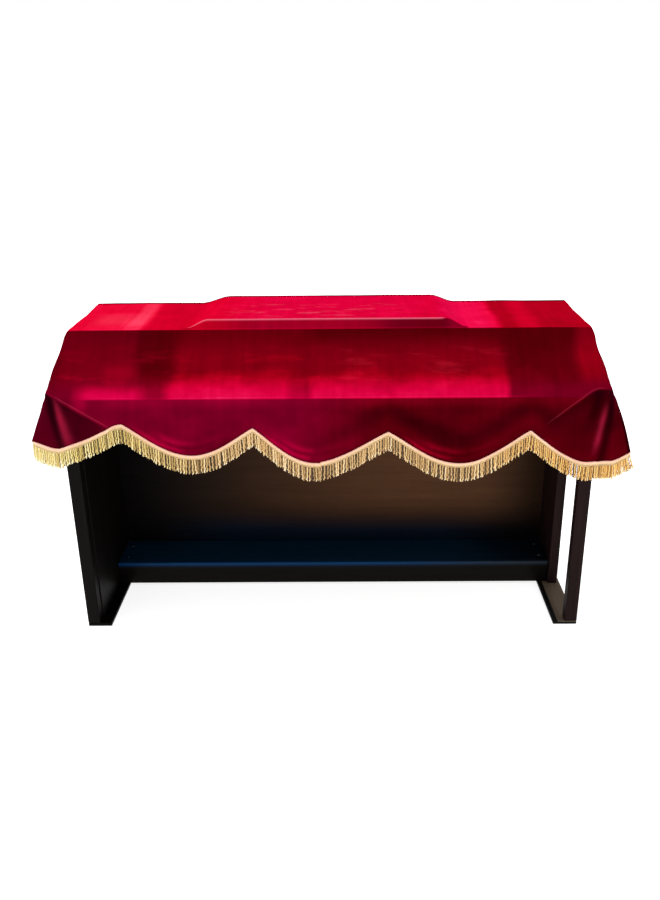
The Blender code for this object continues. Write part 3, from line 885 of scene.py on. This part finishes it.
# Painted shade in the grooves between the twisted plies, which also give the bump
ply = (fallen / CORD_TURN * 2.0).maths("FRACT")
groove_shade = 1 - ply.band(0.14, 0.86, 0.12)
tip = fallen.rise(CORD_LENGTH - 0.006, CORD_LENGTH - 0.001) * cord_tone.rise(0.45, 0.75)
hairs = cord_flat.scaled(40.0, 260.0).noise(1.0)
shade = cord_tone * 0.80 + 0.40 * hairs - 0.10 - 0.34 * groove_shade + 0.22 * tip
yellow = shade.ramp(
    (0.05, (0.044, 0.024, 0.004)),
    (0.28, (0.360, 0.240, 0.040)),
    (0.50, (0.780, 0.580, 0.150)),
    (0.80, (0.980, 0.820, 0.340)),
    (1.00, (1.000, 0.930, 0.600)),
)
tan = shade.ramp(
    (0.05, (0.028, 0.011, 0.003)),
    (0.28, (0.230, 0.115, 0.030)),
    (0.50, (0.660, 0.390, 0.130)),
    (0.80, (0.980, 0.680, 0.310)),
    (1.00, (1.000, 0.840, 0.560)),
)
orange = shade.ramp(
    (0.05, (0.046, 0.017, 0.004)),
    (0.28, (0.420, 0.190, 0.030)),
    (0.50, (0.840, 0.440, 0.085)),
    (0.80, (1.000, 0.650, 0.190)),
    (1.00, (1.000, 0.810, 0.400)),
)
along_x = start.node("ShaderNodeTexCoord", {}, {}, "Object").axis("X")
left_part = along_x.rise(-0.66, -0.20).mix(yellow, tan)
along_x.rise(0.30, 0.62).mix(left_part, orange).feed(cord_shader.inputs["Base Color"])
(1 - groove_shade).bump(cord_shader, 0.6, 0.0006)
strands.data.materials.append(gold_cord)
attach(strands, "root")
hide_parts("fringe")


# Piano: dark brown stained wood with a satin finish, kept as the solids are. The grain runs along
# each board.
def dark_wood(name, grain, tint, roughness):
    """Stained wood with its grain stretched by these factors along X, Y and Z."""
    material, shader, start = finish_of(name, {"Specular IOR Level": 0.04})
    place = start.node("ShaderNodeTexCoord", {}, {}, "Object")
    streaks = place.scaled(*grain).noise(1.0, 5.0, 0.6)
    pores = place.scaled(*[factor * 6.0 for factor in grain]).noise(1.0, 2.0)
    shade = streaks * 0.7 + pores * 0.3
    dark = [channel * 0.45 for channel in tint]
    light = [channel * 1.7 for channel in tint]
    shade.ramp((0.25, dark), (0.50, tint), (0.75, light)).feed(shader.inputs["Base Color"])
    (roughness + 0.15 * (pores - 0.5)).feed(shader.inputs["Roughness"])
    (streaks * 0.5 + pores * 0.5).bump(shader, 0.08, 0.0006)
    return material, shader, place, shade


UPRIGHT, LENGTHWAYS, FRONT_TO_BACK = (60.0, 60.0, 4.0), (4.0, 60.0, 60.0), (60.0, 4.0, 60.0)
BLACK_BROWN = (0.0034, 0.0023, 0.0020)
# A lighter, redder copy of the stain for the right leg and side board: painted light from the right
LIT_RED_BROWN = (0.013, 0.0058, 0.0055)
LIT_GREY_BROWN = (0.060, 0.044, 0.031)
left_wood = dark_wood("dark stained wood, left", UPRIGHT, BLACK_BROWN, 0.45)[0]
lit_right_wood = dark_wood("dark stained wood, right", UPRIGHT, LIT_RED_BROWN, 0.45)[0]
long_wood = dark_wood("dark stained wood, long grain", LENGTHWAYS, BLACK_BROWN, 0.45)[0]
left_foot_wood = dark_wood("dark stained wood, left foot", FRONT_TO_BACK, BLACK_BROWN, 0.45)[0]

# The right foot is painted lighter, and its top carries a painted pale patch of light, apart from a
# strip along its inner edge painted dark as shade
LIT_PATCH_DEEP, SHADED_STRIP = 0.0022, 0.011
right_foot_wood, foot_shader, place, shade = dark_wood(
    "dark stained wood, right foot", FRONT_TO_BACK, LIT_GREY_BROWN, 0.45)
foot_inner, foot_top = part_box("foot_right")[0].x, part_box("foot_right")[1].z
lit_patch = place.axis("Z").rise(foot_top - LIT_PATCH_DEEP, foot_top - LIT_PATCH_DEEP + 0.001)
lit_patch = lit_patch * place.axis("X").rise(foot_inner + SHADED_STRIP, foot_inner + SHADED_STRIP + 0.004)
lit_patch.mix(
    shade.ramp((0.25, (0.003, 0.003, 0.003)), (0.75, (0.008, 0.006, 0.005))),
    shade.ramp((0.25, (0.105, 0.075, 0.052)), (0.75, (0.200, 0.150, 0.108))),
).feed(foot_shader.inputs["Base Color"])

# The panel's front carries a painted brown glow of light towards the right and a painted blue reflection
# low in the middle, and is dark elsewhere
panel_wood, panel_shader, place, shade = dark_wood(
    "dark stained wood, panel", LENGTHWAYS, BLACK_BROWN, 0.50)
panel_x, panel_z = place.axis("X"), place.axis("Z")
panel_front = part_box("back_panel")[0].y
panel_glow = panel_x.rise(-0.62, 0.28) * (1 - 0.75 * panel_x.rise(0.44, 0.66))
panel_glow = panel_glow * panel_z.rise(0.10, 0.24)
panel_glow = panel_glow * (1 - place.axis("Y").rise(panel_front + 0.001, panel_front + 0.003))
blue_reflection = (1 - panel_z.rise(0.10, 0.20)) * panel_x.band(-0.45, 0.45, 0.15)
panel_glow.mix(
    blue_reflection.mix(
        shade.ramp((0.25, (0.0014, 0.0009, 0.0009)), (0.75, (0.0034, 0.0022, 0.0020))),
        shade.ramp((0.25, (0.0010, 0.0040, 0.0110)), (0.75, (0.0018, 0.0080, 0.0200))),
    ),
    shade.ramp((0.25, (0.066, 0.027, 0.012)), (0.75, (0.100, 0.041, 0.018))),
).feed(panel_shader.inputs["Base Color"])
finishes = {
    "case": long_wood,
    "music_rest": long_wood,
    "back_panel": panel_wood,
    "foot_left": left_foot_wood,
    "foot_right": right_foot_wood,
    "leg_left": left_wood,
    "leg_right": lit_right_wood,
    "side_board_left": left_wood,
    "side_board_right": lit_right_wood,
}
for node_name, wood in finishes.items():
    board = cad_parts[node_name]
    board.data.materials.clear()
    board.data.materials.append(wood)


# Low board between the side boards, over the floor: the same wood under a gloss, with a painted blue
# reflection on its top and a painted blue highlight along its front upper edge.
EDGE_LOW, EDGE_TALL, EDGE_DEEP = 0.0030, 0.0075, 0.0090
TOP_SKIN = 0.006
low_wood, low_shader, place, shade = dark_wood(
    "dark wood with painted blue reflection", LENGTHWAYS, BLACK_BROWN, 0.30)
low_corner, high_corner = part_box("low_board")
board_x, depth, height = (place.axis(name) for name in "XYZ")
# Painted highlight along the front upper edge, and a painted blue reflection on the top that fades
# towards the right
edge = depth.line(low_corner.y, EDGE_DEEP) * height.line(high_corner.z - EDGE_LOW, EDGE_TALL)
top_reflection = height.rise(high_corner.z - TOP_SKIN, high_corner.z)
top_reflection = top_reflection * (1 - 0.75 * board_x.rise(0.30, 0.62))
face_colour = (1 - top_reflection).mix(
    shade.ramp((0.25, (0.0022, 0.0200, 0.0460)), (0.75, (0.0046, 0.0360, 0.0780))),
    shade.ramp((0.25, (0.0024, 0.0019, 0.0017)), (0.75, (0.0060, 0.0045, 0.0038))),
)
highlight_colour = board_x.rise(0.10, 0.62).mix((0.004, 0.036, 0.110, 1.0), (0.018, 0.026, 0.036, 1.0))
edge.mix(face_colour, highlight_colour).feed(low_shader.inputs["Base Color"])
low_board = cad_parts["low_board"]
low_board.data.materials.clear()
low_board.data.materials.append(low_wood)


# Screws: small domed heads near both ends of the low board, that hold it to the side boards.
SCREW_RADIUS, SCREW_RISE, SCREW_SIDES, SCREW_RINGS = 0.0045, 0.0018, 20, 4
SCREW_INSET, SCREW_SHARES, DOME_TURN = 0.022, (0.25, 0.72), math.radians(88.0)
screw_points, screw_faces = [], []
for end in (low_corner.x + SCREW_INSET, high_corner.x - SCREW_INSET):
    for share in SCREW_SHARES:
        back = low_corner.y + (high_corner.y - low_corner.y) * share
        centre = Vector((end, back, high_corner.z))
        first = len(screw_points)
        for ring in range(SCREW_RINGS + 1):
            tilt = DOME_TURN * ring / SCREW_RINGS
            radius, rise = SCREW_RADIUS * math.cos(tilt), SCREW_RISE * math.sin(tilt)
            for side in range(SCREW_SIDES):
                around = 2.0 * math.pi * side / SCREW_SIDES
                rim = Vector((radius * math.cos(around), radius * math.sin(around), rise))
                screw_points.append(centre + rim)
        for ring in range(SCREW_RINGS):
            for side in range(SCREW_SIDES):
                a = first + ring * SCREW_SIDES + side
                b = first + ring * SCREW_SIDES + (side + 1) % SCREW_SIDES
                screw_faces.append((a, b, b + SCREW_SIDES, a + SCREW_SIDES))
        last = first + SCREW_RINGS * SCREW_SIDES
        screw_faces.append(tuple(last + side for side in range(SCREW_SIDES)))
        screw_faces.append(tuple(first + side for side in reversed(range(SCREW_SIDES))))
screw_mesh = bpy.data.meshes.new("board_screws")
screw_mesh.from_pydata(screw_points, [], screw_faces)
screw_mesh.shade_smooth()
screws = bpy.data.objects.new("board_screws", screw_mesh)
bpy.context.collection.objects.link(screws)
dark_steel, steel_shader, start = finish_of("dark steel", {"Metallic": 1.0})
place = start.node("ShaderNodeTexCoord", {}, {}, "Object")
wear_and_pale_streaks = place.noise(900.0)
wear_and_pale_streaks.ramp((0.3, (0.16, 0.17, 0.18)), (0.7, (0.34, 0.35, 0.36))).feed(steel_shader.inputs["Base Color"])
(0.35 + 0.2 * wear_and_pale_streaks).feed(steel_shader.inputs["Roughness"])
screws.data.materials.append(dark_steel)
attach(screws, "root")


# Studio: a plain pale floor and soft light from above and in front.
FLOOR_HALF = 30.0
floor_mesh = bpy.data.meshes.new("floor")
floor_corners = ((-1, -1), (1, -1), (1, 1), (-1, 1))
floor_points = [(a * FLOOR_HALF, b * FLOOR_HALF, 0.0) for a, b in floor_corners]
floor_mesh.from_pydata(floor_points, [], [(0, 1, 2, 3)])
floor = bpy.data.objects.new("floor", floor_mesh)
bpy.context.collection.objects.link(floor)
pale, pale_shader, start = finish_of("pale floor", {"Roughness": 0.9, "Specular IOR Level": 0.1})
pale_shader.inputs["Base Color"].default_value = (0.88, 0.88, 0.88, 1.0)
pale_shader.inputs["Emission Color"].default_value = (1.0, 1.0, 1.0, 1.0)
pale_shader.inputs["Emission Strength"].default_value = 0.80
floor.data.materials.append(pale)

AMBIENT, SUN_STRENGTH, SUN_SPREAD = 0.60, 2.2, 50.0
SUN_FROM = Vector((-0.25, 0.25, 0.93))
world = bpy.data.worlds.new("studio")
world.use_nodes = True
sky = world.node_tree.nodes["Background"]
sky.inputs["Color"].default_value = (1.0, 1.0, 1.0, 1.0)
seen_directly = Shade(world.node_tree).node("ShaderNodeLightPath", {}, {}, "Is Camera Ray")
(AMBIENT + (1.0 - AMBIENT) * seen_directly).feed(sky.inputs["Strength"])
bpy.context.scene.world = world
bpy.context.scene.view_settings.view_transform = "Standard"
sun_data = bpy.data.lights.new("overhead", "SUN")
sun_data.energy = SUN_STRENGTH
sun_data.angle = math.radians(SUN_SPREAD)
sun = bpy.data.objects.new("overhead", sun_data)
sun.rotation_mode = "QUATERNION"
sun.rotation_quaternion = SUN_FROM.to_track_quat("Z", "Y")
bpy.context.collection.objects.link(sun)
